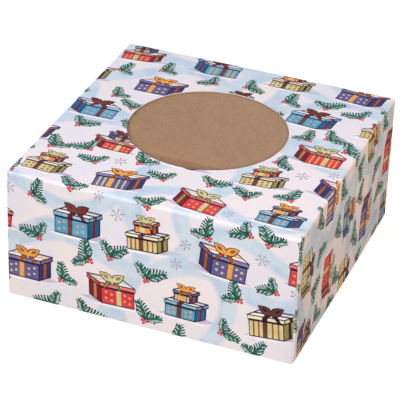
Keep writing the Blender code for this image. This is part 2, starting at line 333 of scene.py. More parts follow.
def rule(at, radius, sign, low, high, upright, steps=6):
    """Lines along a crease that starts at `at`, runs to `sign` and spans low to high."""
    band = radius * QUARTER
    runs = [-GUARD] + [band * k / steps for k in range(steps + 1)] + [band + GUARD]
    return [[complex(at + sign * run, end) if upright else complex(end, at + sign * run)
             for end in (low, high)] for run in runs]


creases = []
for side in (-1, 1):
    creases += rule(side * LID_SIDE, LID_FOLD, side, lid_tab_end, LID_BACK, True)
    wide = sorted([side * LID_SIDE, side * (LID_SIDE + LID_EDGE)])
    creases += rule(-LID_CORNER, LID_FOLD, -1, *wide, False)
    creases += rule(side * TRAY_SIDE, TRAY_FOLD, side, tray_v(side_high), tray_v(side_low), True)
    for low, high in ((HINGE_TO, tray_v(TRAY_BACK) - PAST_FOLD),
                      (tray_v(-TRAY_FRONT) + PAST_FOLD, PAST_SHEET)):
        creases += rule(side * TRAY_CORNER, TRAY_FOLD, side, low, high, True)
creases += rule(-LID_FRONT, LID_FOLD, -1, -LID_SIDE, LID_SIDE, False)
creases += rule(HINGE_START, BOARD, 1, -TRAY_CORNER, TRAY_CORNER, False, steps=5)
creases += rule(tray_v(TRAY_BACK), TRAY_FOLD, -1, -TRAY_CORNER, TRAY_CORNER, False)
creases += rule(tray_v(-TRAY_FRONT), TRAY_FOLD, 1, -TRAY_CORNER, TRAY_CORNER, False)
for share in RINGS:
    ring = disc(WINDOW_MIDDLE, WINDOW_RADIUS + share * BURR_WIDTH, RIM_CORNERS)
    creases.extend([start, end] for start, end in zip(ring, ring[1:] + ring[:1]))
print(len(creases), "crease lines")

# %% [markdown]
# ## Painting the sheet
#
# A press lays down one ink after another. The list `sheet` holds each painted shape with
# its ink in that order, and what comes later covers what came before.
#
# The print is a generic winter one of gift parcels, sprigs with berries and snowflakes on
# a pale ground with blue drifts. `lay` puts a shape drawn about nought in its place.

# %% Lay a shape on the sheet
sheet = []


def anticlockwise(outline):
    """The same outline, turned round if it runs clockwise."""
    ring = zip(outline, outline[1:] + outline[:1])
    return outline if sum((a.conjugate() * b).imag for a, b in ring) > 0 else outline[::-1]


def lay(ink, outline, place=0j, turn=1 + 0j, flipped=False):
    points = mirrored(outline) if flipped else outline
    sheet.append((ink, anticlockwise([place + turn * point for point in points])))

# %% [markdown]
# Two pen shapes make most of the drawing: a leaf that swells and comes to a point, and a
# stroke that follows a line and thins at its ends.

# %% Leaf and stroke
BROAD_LEAF = ((0.12, 0.6), (0.36, 1.0), (0.64, 0.8), (0.85, 0.4))
NEEDLE = ((0.3, 1.0), (0.7, 0.7))


def leaf(foot, tip, width, profile=BROAD_LEAF):
    along = tip - foot
    across = 1j * along / abs(along) * width / 2
    left = [foot + along * share + across * wide for share, wide in profile]
    right = [foot + along * share - across * wide for share, wide in profile]
    return [foot] + right + [tip] + left[::-1]


def stroke(points, width, thin=0.5):
    left, right = [], []
    for number, point in enumerate(points):
        before, after = points[max(number - 1, 0)], points[min(number + 1, len(points) - 1)]
        across = 1j * (after - before) / abs(after - before) * width / 2
        across *= thin if number in (0, len(points) - 1) else 1
        left.append(point + across)
        right.append(point - across)
    return right + left[::-1]

# %% [markdown]
# ### Drifts
#
# Pale-blue drifts 7 to 9.5 mm wide wander over the ground. Each is a stroke along a wave,
# laid twice: a wider and paler one first, so that its edge looks soft.

# %% Paint the drifts
STEP = 7
chance = random.Random(24)
wander = random.Random(9)


def drift(draw, start, heading, length, width):
    """A wandering band from start, its wave drawn from the generator `draw`."""
    points, place = [], start
    swing, phase = draw.uniform(0.4, 0.75), draw.uniform(0, math.tau)
    pace = draw.uniform(80, 125)
    for step in range(int(length / STEP)):
        points.append(place)
        turn = heading + swing * math.sin(math.tau * step * STEP / pace + phase)
        place += cmath.rect(STEP, turn)
    return points, width


EDGE, ACROSS, UP = -175, 430, 640
bands = []
for row in range(10):
    start = complex(EDGE, -150 + row * 60 + chance.uniform(-9, 9))
    bands.append(drift(chance, start, chance.uniform(-0.15, 0.25), ACROSS,
                       chance.uniform(7.5, 9.5)))
for column in range(6):
    start = complex(-150 + column * 62 + chance.uniform(-9, 9), EDGE)
    bands.append(drift(chance, start, QUARTER + chance.uniform(-0.12, 0.12), UP,
                       chance.uniform(7, 9)))
for row in range(5):
    bands.append(drift(wander, complex(EDGE, -115 + row * 120), wander.uniform(-0.2, 0.2),
                       ACROSS, wander.uniform(7.5, 9.5)))
for column in range(3):
    bands.append(drift(wander, complex(-118 + column * 112, EDGE), QUARTER, UP,
                       wander.uniform(7.5, 9.5)))
for ink, extra in (("drift edge", 2.6), ("drift", 0)):
    for points, width in bands:
        lay(ink, stroke(points, width + extra, 1))
print(len(bands), "drifts")

# %% [markdown]
# ### A gift parcel
#
# It is drawn standing, as a block seen a little from the left and above: a front, a
# darker side, a lid with a pale top, a ribbon over each face and a bow. Fine dark lines
# round every face give the drawing its weight.

# %% Paint a parcel
# Per colour: ribbon, ribbon in shade, dots or stripes, and the colour of a block on top.
PARCELS = {
    "violet": ("orange", "orange deep", "straw", "straw"),
    "red": ("straw", "straw deep", "orange", "sky"),
    "sky": ("brown", "red deep", "orange", "violet"),
    "straw": ("brown", "line", "orange deep", "red"),
}


def bow(put, at, size, ribbon, shade):
    """Two loops, two tails and a knot."""
    for sign in (-1, 1):
        tail = [at, at + size * complex(2.6 * sign, -1.7), at + size * complex(4.4 * sign, -4.6)]
        loop = size * complex(6.6 * sign, 4.2)
        put("line", stroke(tail, 2.3 * size, 0.7))
        put(shade, stroke(tail, 1.5 * size, 0.7))
        put("line", leaf(at - loop * 0.08, at + loop * 1.08, 5.6 * size))
        put(ribbon, leaf(at, at + loop, 4.4 * size))
        inner = at + size * complex(2 * sign, 1.3), at + size * complex(5.2 * sign, 3.4)
        put(shade, leaf(*inner, 1.9 * size))
    put(ribbon, disc(at + 0.3j * size, 1.35 * size, 8))


def box_block(put, left, right, low, high, rim, back, body, striped):
    """One block, drawn aslant. `back` is how far its rear edge lies from its front."""
    ribbon, shade, dots, _ = PARCELS[body]

    def side(x, y0, y1, start=0, end=1):
        near, far = complex(x, 0) + back * start, complex(x, 0) + back * end
        return [near + 1j * y0, far + 1j * y0, far + 1j * y1, near + 1j * y1]

    middle = left + (right - left) * 0.46
    put(body, oblong(left, right, low, high))
    put(body + " deep", side(right, low, high))
    for column, share in enumerate((0.13, 0.28, 0.68, 0.85)):
        x = left + (right - left) * share
        if striped:
            put(dots, oblong(x - 0.45, x + 0.45, low, high))
        else:
            for row in range(2):
                level = low + (high - low) * (0.25 + 0.36 * row + 0.1 * (column % 2))
                put(dots, disc(complex(x, level), 0.8, 7))
    put(ribbon, oblong(middle - 1.3, middle + 1.3, low, high))
    put(shade, side(right, low, high, 0.4, 0.62))
    put("line", oblong(left, right, high - 0.9, high))

    wide_left, wide_right, top = left - 0.8, right + 0.7, high + rim
    near_left, near_right = complex(wide_left, top), complex(wide_right, top)
    over = back * 1.08

    def band(start, end):
        return [near_left + back * start, near_right + back * start,
                near_right + back * end, near_left + back * end]

    put("frost", band(0, 1.08))
    put("shade", band(0.8, 1.08))
    strip = [complex(middle - 1.4, top), complex(middle + 1.4, top)]
    put(ribbon, [*strip, strip[1] + over, strip[0] + over])
    put(ribbon, band(0.42, 0.66))
    put(body + " pale", oblong(wide_left, wide_right, high, top))
    put(body, side(wide_right, high, top, 0, 1.08))
    put(ribbon, oblong(middle - 1.5, middle + 1.5, high, top))
    put(shade, side(wide_right, high, top, 0.42, 0.66))

    corner, foot, brink = complex(left, low), complex(right, low), complex(wide_right, high)
    rise = 1j * (high - low)
    for ends in ([corner + rise, corner, foot, foot + back, foot + back + rise],
                 [foot, foot + rise], [near_right, brink],
                 [near_left, near_right, near_right + over],
                 [near_left, complex(wide_left, high), brink, brink + over],
                 [near_left, near_left + over, near_right + over, brink + over]):
        put("line", stroke(ends, 0.7, 0.85))
    return complex(middle, top) + back * 0.54


def parcel(place, turn, flipped, colour, stacked, striped):
    def put(ink, outline):
        lay(ink, outline, place, turn, flipped)
    upper = PARCELS[colour][3]
    put("shade", leaf(-15 - 9.6j, 18 - 7.6j, 5))
    put("frost", leaf(-16 - 10.4j, 13 - 10.6j, 2.8))
    if stacked:
        box_block(put, -11, 5.5, -9.8, -2.6, 2, 5.6 + 3j, colour, striped)
        put("line", stroke([-6.6 + 0.4j, 2 + 0.3j], 0.8, 0.5))
        knot = box_block(put, -6.6, 2.4, 0.6, 5, 1.5, 3.8 + 2j, upper, not striped)
        bow(put, knot, 0.75, *PARCELS[upper][:2])
    else:
        knot = box_block(put, -12.5, 6, -9.8, 0.2, 2.4, 6.6 + 3.9j, colour, striped)
        bow(put, knot, 1.0, *PARCELS[colour][:2])


print(len(PARCELS), "colours of parcel")

# %% [markdown]
# ### A sprig
#
# Two short twigs of needles spread from one foot, with three berries over the join. The
# needles go in pairs that shorten to the tip. Each has a dark one under it, and most carry
# frost. Under the box, where nobody looks, sprigs are plain, which keeps the floor light.

# %% Paint a sprig and a snowflake
def twig(put, foot, way, reach, pairs, plain):
    """A curved stem of needles from foot, `reach` long and heading `way` at first."""
    stem, heading = [foot], way
    for _ in range(pairs):
        stem.append(stem[-1] + heading * reach / pairs)
        heading *= cmath.rect(1, -0.09 if way.real > 0 else 0.09)
    put("brown", stroke(stem, 0.7, 0.6))
    for number in range(pairs):
        length = (5.4 - 3.0 * number / pairs) * reach / 12
        along = (stem[number + 1] - stem[number]) * pairs / reach
        for sign in (-1, 1):
            root = stem[number] + along * (1 if number == 0 else 0.4)
            tip = root + along * cmath.rect(length, sign * (0.92 - 0.03 * number))
            if not plain:
                under = tip + (tip - root) * cmath.rect(0.25, -0.6 * sign)
                put("pine deep", stroke([root, under], 1.7, 0.6))
            put("pine" if (number + sign) % 3 else "pine light", leaf(root, tip, 1.7, NEEDLE))
            if not plain and (number % 2 or sign < 0):
                put("frost", stroke([root + (tip - root) * 0.35, tip + 0.2j], 0.8, 0.55))
    put("pine", leaf(stem[-2], stem[-1] + along * 1.8, 1.5))


def sprig(place, turn, flipped, spread, plain):
    def put(ink, outline):
        lay(ink, outline, place, turn, flipped)
    twig(put, -5.5j, cmath.rect(1, QUARTER + spread * 0.5), 12, 7, plain)
    twig(put, -5.0j, cmath.rect(1, QUARTER - spread * 0.9), 9.5, 6, plain)
    for spot, radius in ((-1.3 - 5.6j, 1.25), (1.1 - 5.2j, 1.15), (-0.2 - 7.1j, 1.05)):
        put("red deep", disc(spot + 0.12 - 0.15j, radius, 8))
        put("red", disc(spot, radius * 0.82, 8))
        put("frost", disc(spot + complex(-0.3, 0.35), 0.3, 5))


def snowflake(place, turn, radius):
    for arm in range(6):
        way = turn * cmath.rect(1, math.tau * arm / 6)
        lay("flake", stroke([0.4 + 0j, radius / 2 + 0j, radius + 0j], 0.5, 0.8), place, way)
        for sign in (-1, 1):
            barb = [radius * 0.55 + 0j, radius * 0.55 + cmath.rect(radius * 0.3, sign * 0.95)]
            lay("flake", stroke(barb, 0.45, 0.8), place, way)

# %% [markdown]
# ### Setting out
#
# Parcels stand in staggered rows about 35 mm apart, each a little off its place. Sprigs
# and snowflakes go, one at a time, where there is most room left among a few dozen
# guesses, which is how a designer fills a repeat without gaps. The seed is fixed, so the
# sheet is the same each time.

# %% Set out the whole sheet
ACROSS_PITCH, ROW_PITCH = 43, 34.5
sheet_low, sheet_high = complex(-160, -162), complex(160, 392)
clear_of = []


def room_at(place):
    """How much room a small shape has here, counting a parcel as wider than it is tall."""
    return min(abs(complex((place - other).real / wide, (place - other).imag / tall))
               for other, wide, tall in clear_of)


colours = list(PARCELS)
parcels = 0
for row in range(17):
    for column in range(9):
        place = complex(-172 + ACROSS_PITCH * (column + 0.5 * (row % 2)), -168 + ROW_PITCH * row)
        place += complex(chance.uniform(-3.5, 3.5), chance.uniform(-3, 3))
        colour = colours[(column + 2 * (row % 2) + row // 2 * 3) % 4]
        parcel(place, cmath.rect(1, chance.uniform(-0.13, 0.13)), (row + column) % 3 == 1,
               colour, (column + row * 2) % 5 in (1, 3), (column + row) % 4 == 2)
        clear_of.append((place, 19.5, 15.5))
        parcels += 1

extras = []
for count, size in ((250, 11.5), (90, 8.0)):
    for number in range(count):
        guesses = [complex(chance.uniform(sheet_low.real, sheet_high.real),
                           chance.uniform(sheet_low.imag, sheet_high.imag)) for _ in range(40)]
        place = max(guesses, key=room_at)
        if room_at(place) > 0.97:
            extras.append((place, size))
            clear_of.append((place, size + 1.5, size + 3.5))
for number, (place, size) in enumerate(extras):
    if size > 9:
        lean = chance.uniform(-1.3, 1.3)
        below = abs(place.real) < TRAY_SIDE and abs(place.imag - TRAY_LINE) < TRAY_FRONT
        sprig(place, cmath.rect(chance.uniform(0.8, 0.98), lean), chance.random() < 0.5,
              chance.uniform(0.6, 0.95), below)
    else:
        snowflake(place, cmath.rect(1, chance.uniform(0, 1)), chance.uniform(3.2, 4.6))
print(parcels, "parcels,", len(extras), "sprigs and snowflakes,", len(sheet), "painted shapes")

# %% [markdown]
# ## Cutting the boards out
#
# Blender has no bmesh operator that stamps one flat drawing on another. Its constrained
# triangulation does: it takes every outline and crease at once, cuts them where they
# cross, and says for each triangle which outlines it lies inside. The last ink over a
# triangle is the one that shows. A loose lattice of extra points lets a panel bow.

# %% Triangulate the whole sheet at once
LATTICE = 9.0
WHOLE, SAME_POINT = 0, 1e-4


def cut_sheet(boards, holes, creases, sheet, bare):
    """Per board, its triangles as (three points, ink). `bare` is the unpainted ground."""
    points = []

    def add(outline):
        points.extend(Vector((point.real, point.imag)) for point in outline)
        return list(range(len(points) - len(outline), len(points)))

    names = list(boards)
    faces = [add(anticlockwise(outline))
             for outline in [*boards.values(), *holes, *(shape for _, shape in sheet)]]
    edges = [add(line) for line in creases]
    rim = [point for outline in boards.values() for point in outline]
    left, right = min(p.real for p in rim), max(p.real for p in rim)
    low, high = min(p.imag for p in rim), max(p.imag for p in rim)
    columns, rows = int((right - left) / LATTICE), int((high - low) / LATTICE)
    add([complex(left + LATTICE * (i + 0.37 + 0.5 * (j % 2)), low + LATTICE * (j + 0.41))
         for i in range(columns) for j in range(rows)])
    cut = geometry.delaunay_2d_cdt(points, edges, faces, WHOLE, SAME_POINT)
    spots, triangles, inside = cut[0], cut[2], cut[5]
    found = {name: [] for name in names}
    first_ink = len(names) + len(holes)
    for triangle, outlines in zip(triangles, inside):
        over = sorted(outlines)
        if not over or over[0] >= len(names):
            continue
        if any(len(names) <= number < first_ink for number in over):
            continue
        ink = sheet[over[-1] - first_ink][0] if over[-1] >= first_ink else bare
        found[names[over[0]]].append((triangle, ink))
    return spots, found


spots, cut_boards = cut_sheet(boards, holes, creases, sheet, "ground")
for name, triangles in cut_boards.items():
    print(name, len(triangles), "triangles")

# %% [markdown]
# ## Colours and nodes
#
# Colours are written as an artist picks them, in sRGB hex, and one function turns them to
# the linear values that Blender works in. One more adds a node with its settings and
# plugs its inputs in. `overlay` is how a pattern turns one colour into another.

# %% Colour and node helpers
def linear(code):
    parts = [int(code[start:start + 2], 16) / 255 for start in (0, 2, 4)]
    return (*(p / 12.92 if p <= 0.04045 else ((p + 0.055) / 1.055) ** 2.4 for p in parts), 1.0)


def plug(tree, node, inputs):
    """Link each input that is given as a node or a socket, and set any other."""
    for name, value in inputs.items():
        if isinstance(value, bpy.types.Node):
            value = value.outputs[0]
        if isinstance(value, bpy.types.NodeSocket):
            tree.links.new(value, node.inputs[name])
        else:
            node.inputs[name].default_value = value


def add_node(tree, kind, inputs=None, **settings):
    made = tree.nodes.new(kind)
    for name, value in settings.items():
        setattr(made, name, value)
    plug(tree, made, inputs or {})
    return made


def new_material(name):
    """An empty material with a Principled shader wired to its output."""
    material = bpy.data.materials.new(name)
    material.use_nodes = True
    tree = material.node_tree
    tree.nodes.clear()
    shader = add_node(tree, "ShaderNodeBsdfPrincipled")
    add_node(tree, "ShaderNodeOutputMaterial", {"Surface": shader})
    return material, tree, shader


def overlay(tree, base, colour, value, start, end, most=1.0):
    """`base` under a colour: none of it where `value` is at `start`, `most` of it at `end`."""
    share = add_node(tree, "ShaderNodeMapRange", {
        "Value": value, "From Min": start, "From Max": end, "To Max": most})
    return add_node(tree, "ShaderNodeMix", {
        "Factor": share, 6: base, 7: colour}, data_type="RGBA").outputs[2]

# %% [markdown]
# ## Printed boxboard
#
# The outside is clay-coated board printed in offset inks with a matt varnish, roughness
# about 0.66. Its specular level is low, because a glossier skin greys the dark inks on a
# face that is seen aslant. Three things keep it from looking like plastic. Each ink drifts
# between two tones, as a wash does, over the 6 to 34 mm that stand after them in the
# table. The board's fibres show as a faint mottle of about 0.8 mm and lift the varnish by
# a few hundredths of a millimetre. Along the creases the coat cracks, and bare white board
# shows in specks of about 1 mm. These pale specks are partly real wear and partly painted
# highlight, which lightens each fold.

# %% Ink on coated board
def board_skin(tree, shader, colour, fibre, rough, strength, lift, specular):
    """Wire up a colour, with fibres that change its roughness and lift it by `lift` mm."""
    roughness = add_node(tree, "ShaderNodeMapRange", {
        "Value": fibre, "To Min": rough[0], "To Max": rough[1]})
    bump = add_node(tree, "ShaderNodeBump", {
        "Height": fibre, "Strength": strength, "Distance": lift * MM})
    plug(tree, shader, {"Base Color": colour, "Roughness": roughness, "Normal": bump,
                        "Specular IOR Level": specular})


def printed_ink(name, tone, other_tone, wash):
    material, tree, shader = new_material("coated board, " + name + " ink")
    place = add_node(tree, "ShaderNodeUVMap", uv_map="sheet")
    drift_noise = add_node(tree, "ShaderNodeTexNoise", {
        "Vector": place, "Scale": 1 / wash, "Detail": 3.0, "Roughness": 0.6},
        noise_dimensions="2D")
    washed = overlay(tree, linear(tone), linear(other_tone), drift_noise, 0.38, 0.62)
    fibre = add_node(tree, "ShaderNodeTexNoise", {
        "Vector": place, "Scale": 1 / 0.8, "Detail": 2.0}, noise_dimensions="2D")
    tint = add_node(tree, "ShaderNodeMapRange", {"Value": fibre, "To Min": 0.955, "To Max": 1.03})
    mottled = add_node(tree, "ShaderNodeMix", {
        "Factor": 1.0, 6: washed, 7: tint}, data_type="RGBA", blend_type="MULTIPLY").outputs[2]
    # Pale specks along the creases: partly the coat's real wear, partly painted highlight that
    # lightens each fold.
    crease = add_node(tree, "ShaderNodeAttribute", attribute_name="crease_wear_and_sheen").outputs["Fac"]
    speck = add_node(tree, "ShaderNodeTexNoise", {
        "Vector": place, "Scale": 1 / 1.1, "Detail": 3.0}, noise_dimensions="2D")
    wear_and_sheen = add_node(tree, "ShaderNodeMath", {0: crease, 1: speck}, operation="MULTIPLY")
    shown = overlay(tree, mottled, linear("F6F1EE"), wear_and_sheen, 0.46, 0.66, 0.6)
    board_skin(tree, shader, shown, fibre, (0.6, 0.72), 0.25, 0.03, specular=0.05)
    return material


INKS = {
    "ground": ("EFE8EB", "E6E6F1", 34), "drift": ("C0D5E8", "D1E0ED", 14),
    "drift edge": ("DADFEE", "E2E3EE", 14), "frost": ("F7F6FB", "E9EAF5", 8),
    "shade": ("BDB8D1", "CBC6DB", 8), "flake": ("9A97B8", "AEAAC8", 8),
    "line": ("241B2B", "302533", 8), "brown": ("74473F", "613835", 8),
    "orange": ("ECA045", "EEB05C", 6), "orange deep": ("B0612F", "9C5230", 6),
    "violet": ("5F5A90", "6C679D", 9), "violet deep": ("423D6A", "39345F", 9),
    "violet pale": ("7B76AA", "8B86B6", 9), "red": ("D03F4E", "DB4F59", 9),
    "red deep": ("8A2230", "751D2B", 9), "red pale": ("E0676C", "E87F80", 9),
    "sky": ("54A0C9", "65ADD4", 9), "sky deep": ("266A98", "1F5A83", 9),
    "sky pale": ("86C0DE", "9DCEE5", 9), "straw": ("CEC78C", "DAD4A3", 9),
    "straw deep": ("A1955A", "91864F", 9), "straw pale": ("ECE4BC", "F1EBCC", 9),
    "pine": ("256B5B", "1D5B4D", 6), "pine light": ("3B8F7E", "4BA190", 6),
    "pine deep": ("0A2824", "10362F", 6),
}
ink_materials = {name: printed_ink(name, *tones) for name, tones in INKS.items()}
print(len(ink_materials), "inks")

# %% [markdown]
# ## The back of the board, and its cut edge
#
# Inside, the board is bare kraft: long brown fibres that lie mostly one way, with no
# gloss at all, over clouds of two browns about 11 mm wide. The fibres are a noise stretched
# ten times along the grain. Real ones are 2 to 3 mm long and hair-thin; these are drawn
# 3 mm by 0.3 mm so that they show. The die leaves an edge that shows the board's pale core.

# %% Kraft and cut edge
def kraft(name, tones, dark, light):
    material, tree, shader = new_material(name)
    place = add_node(tree, "ShaderNodeUVMap", uv_map="sheet")
    grain = add_node(tree, "ShaderNodeMapping", {"Vector": place, "Scale": (1.0, 0.1, 1.0)})
    fibre = add_node(tree, "ShaderNodeTexNoise", {
        "Vector": grain, "Scale": 1 / 0.3, "Detail": 3.0, "Distortion": 0.6},
        noise_dimensions="2D")
    cloud = add_node(tree, "ShaderNodeTexNoise", {
        "Vector": place, "Scale": 1 / 11, "Detail": 4.0, "Roughness": 0.65},
        noise_dimensions="2D")
    clouded = overlay(tree, *map(linear, tones), cloud, 0.3, 0.7)
    darker = overlay(tree, clouded, linear(dark), fibre, 0.56, 0.72, 0.45)
    shown = overlay(tree, darker, linear(light), fibre, 0.42, 0.28, 0.4)
    board_skin(tree, shader, shown, fibre, (0.78, 0.92), 0.4, 0.04, specular=0.3)
    return material


kraft_back = kraft("bare kraft back of boxboard", ("CA9F76", "D0A780"), "A2764F", "DDB98D")
cut_edge = kraft("die-cut edge of boxboard", ("F3ECE4", "F7F2EC"), "D6C2AA", "FBF8F3")
print("board back and edge ready")

# %% [markdown]
# ## Thickness, then folding
#
# Each cut board becomes a bmesh of flat triangles with their inks. The extrude operator
# gives it the thickness of the board, with new walls round every edge and hole, so it is
# a closed solid like the real one. Only then is it folded: the function for that board
# moves every point to its place on the box.

# %% Make one folded board
WEAR_AND_SHEEN_REACH = 2.5
SAME_VERTEX, NO_LENGTH = 0.002, 0.001
FACES_UP = 0.5


def thicken(bm, depth):
    """Extrude a flat bmesh to a closed slab whose new face lies `depth` above the old."""
    grown = bmesh.ops.extrude_face_region(bm, geom=bm.faces[:], use_keep_orig=True)["geom"]
    moved = [part for part in grown if isinstance(part, bmesh.types.BMVert)]
    bmesh.ops.translate(bm, vec=(0, 0, depth), verts=moved)
    bmesh.ops.recalc_face_normals(bm, faces=bm.faces[:])


def finish_mesh(bm, name, materials):
    """Turn a finished bmesh into an object at the origin, smooth but for its real edges."""
    mesh = bpy.data.meshes.new(name)
    bm.to_mesh(mesh)
    bm.free()
    for material in materials:
        mesh.materials.append(material)
    mesh.shade_smooth()
    mesh.set_sharp_from_angle(angle=math.radians(35))
    piece = bpy.data.objects.new(name, mesh)
    bpy.context.scene.collection.objects.link(piece)
    print(name, len(mesh.polygons), "faces")
    return piece


def near_crease(u, v, lines):
    """Mask of the pale crease specks, partly wear and partly painted highlight: 1 on the middle of
    a crease band, falling to 0 at WEAR_AND_SHEEN_REACH mm from it.
    """
    nearest = min((abs((u if upright else v) - at) for at, upright in lines), default=9)
    return max(0.0, 1 - nearest / WEAR_AND_SHEEN_REACH)


def build_board(name, triangles, fold, wear_and_sheen_lines=(), skin=None):
    """Inks come first among a board's materials, then its kraft back and its cut edge."""
    bm = bmesh.new()
    print_map = bm.loops.layers.uv.new("sheet")
    wear_and_sheen_layer = bm.verts.layers.float.new("crease_wear_and_sheen")
    corners = {}
    inks = sorted({ink for _, ink in triangles})
    for triangle, ink in triangles:
        for number in triangle:
            if number not in corners:
                corners[number] = bm.verts.new((*spots[number], 0))
        face = bm.faces.new([corners[number] for number in triangle])
        face.material_index = bisect.bisect_left(inks, ink)
    thicken(bm, -BOARD)
    for face in bm.faces:
        if face.normal.z < FACES_UP:
            face.material_index = len(inks) + (face.normal.z > -FACES_UP)
        for loop in face.loops:
            loop[print_map].uv = loop.vert.co.xy
    for vert in bm.verts:
        u, v, height = vert.co
        # How near each point is to a crease, for the pale specks that are partly wear and partly
        # painted highlight.
        vert[wear_and_sheen_layer] = near_crease(u, v, wear_and_sheen_lines)
        vert.co = Vector(fold(u, v, -height)) * MM
    bmesh.ops.remove_doubles(bm, verts=bm.verts[:], dist=SAME_VERTEX * MM)
    bmesh.ops.dissolve_degenerate(bm, edges=bm.edges[:], dist=NO_LENGTH * MM)
    skins = [(skin or ink_materials)[ink] for ink in inks]
    return finish_mesh(bm, name, [*skins, kraft_back, cut_edge])

# %% [markdown]
# ### The lid's boards
#
# The top, the front skirt and the two side skirts meet at their creases with no gap. Each
# side skirt goes on round the front corner as a tab behind the front skirt, whose own cut
# edge shows there as a thin line.

# %% Fold the lid
HINGE_MIDDLE = 0.4
lid_band = LID_FOLD * QUARTER / 2
hinge_band = (HINGE_START + HINGE_MIDDLE, False)
front_band = (-LID_FRONT - lid_band, False)
side_bands = [(side * (LID_SIDE + lid_band), True) for side in (-1, 1)]
corner_band = (-LID_CORNER - lid_band, False)

middle_bands = [front_band, *side_bands]
lid_boards = {
    "lid_top_board": (fold_lid_middle, [*middle_bands, hinge_band], ["lid_top_panel"]),
    "lid_front_board": (fold_lid_middle, middle_bands, ["lid_front_skirt"]),
}
for side in ("left", "right"):
    nodes = [f"lid_{side}_skirt", f"lid_{side}_corner_tab"]
    lid_boards[f"lid_{side}_board"] = fold_lid_side, [*side_bands, corner_band], nodes
for name, (fold, bands, nodes) in lid_boards.items():
    piece = build_board(name, cut_boards[name], fold, bands)
    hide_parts(*nodes)
    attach(piece, "lid")

# %% [markdown]
# ### The tray's boards
#
# The tray is the rest of the strip. Its front and back walls end in tabs that turn the
# corner and are glued outside the side walls.

# %% Fold the tray
tray_boards = {
    "tray_floor_board": ("floor_panel",),
    "tray_front_board": ("front_wall", "front_left_tray_tab", "front_right_tray_tab"),
    "tray_back_board": ("back_wall", "back_left_tray_tab", "back_right_tray_tab"),
    "tray_left_board": ("left_wall",),
    "tray_right_board": ("right_wall",),
}
tray_band = 0.8
strip_bands = [(tray_v(TRAY_BACK) - tray_band, False), (tray_v(-TRAY_FRONT) + tray_band, False),
               hinge_band]
wall_bands = [(side * (TRAY_SIDE + tray_band), True) for side in (-1, 1)]
for name, nodes in tray_boards.items():
    sideways = name in ("tray_left_board", "tray_right_board")
    fold, bands = (fold_tray_side, wall_bands) if sideways else (fold_tray_strip, strip_bands)
    piece = build_board(name, cut_boards[name], fold, bands)
    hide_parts(*nodes)
    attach(piece, "tray")

# %% [markdown]
# ### The hinge crease
#
# The lid turns on the crease itself. This thin strip is folded as at rest and is attached
# to neither body: it meets the back wall at one edge and the lid at the other.

# %% Fold the hinge crease
crease_piece = build_board("hinge_crease", cut_boards["hinge_crease"], fold_lid_middle,
                           [hinge_band])
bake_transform(crease_piece)

# %% [markdown]
# ## The window film
#
# A square of thin clear PET is glued behind the window. It hardly shows but for a soft
# sheen, so it is a thin sheet with a low alpha and a faint ripple of 30 mm, and it follows
# the bow of the top.

# %% Make the film
FILM_GRID = 26
film_material, tree, shader = new_material("clear PET window film")
ripple = add_node(tree, "ShaderNodeTexNoise", {
    "Vector": add_node(tree, "ShaderNodeTexCoord").outputs["Object"],
    "Scale": 1 / (30 * MM), "Detail": 1.0})
bump = add_node(tree, "ShaderNodeBump", {"Height": ripple, "Strength": 0.3, "Distance": 0.2 * MM})
plug(tree, shader, {"Base Color": linear("F4F7FA"), "Roughness": 0.06, "IOR": 1.57,
                    "Alpha": 0.03, "Normal": bump})

bm = bmesh.new()
bmesh.ops.create_grid(bm, x_segments=FILM_GRID, y_segments=FILM_GRID,
                      size=(film_high.x - film_low.x) / 2)
bmesh.ops.translate(bm, vec=(film_low + film_high) / 2, verts=bm.verts[:])
thickness = film_high.z - film_low.z
bmesh.ops.translate(bm, vec=(0, 0, -thickness / 2), verts=bm.verts[:])
thicken(bm, thickness)
for vert in bm.verts:
    place = vert.co.xy / MM
    sag = fold_lid_middle(*place, 0)[2] - TOP - burr(complex(*place))
    vert.co.z += sag * MM
film = finish_mesh(bm, "window_film_sheet", [film_material])
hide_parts("window_film")
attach(film, "lid")

# %% [markdown]
# ## The card that holds the cups
#
# A second, unprinted sheet: a deck with four round holes and a leg folded down along each
# side, whose ends are cut back so that the legs clear each other. It is cut and folded by
# the same functions as the box.

# %% Cut and fold the insert
leg_low, leg_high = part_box("insert_right_leg")
INSERT_FOLD = 1.0
LEG_TAPER = 2
HOLE_RADIUS, HOLE_CORNERS = 26.5, 72
insert_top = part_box("insert_deck")[1].z / MM
insert_side = leg_high.x / MM - INSERT_FOLD
insert_front = -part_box("insert_front_leg")[0].y / MM - INSERT_FOLD
insert_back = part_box("insert_back_leg")[1].y / MM - INSERT_FOLD
leg_length = INSERT_FOLD * QUARTER + (insert_top - INSERT_FOLD) - leg_low.z / MM


def fold_insert_across(u, v, depth):
    out, fall = bend(abs(u) - insert_side, INSERT_FOLD, depth)
    return math.copysign(insert_side + out, u), v, insert_top - fall


def fold_insert_along(u, v, depth):
    edge = insert_back if v > 0 else insert_front
    out, fall = bend(abs(v) - edge, INSERT_FOLD, depth)
    return u, math.copysign(edge + out, v), insert_top - fall


def leg(start, end, crease, length):
    """A leg's outline along `start` to `end`, as if it lay past `crease` on the u axis."""
    turned = crease + INSERT_FOLD * QUARTER
    return [complex(crease, start), complex(turned, start),
            complex(crease + length, start + LEG_TAPER), complex(crease + length, end - LEG_TAPER),
            complex(turned, end), complex(crease, end)]


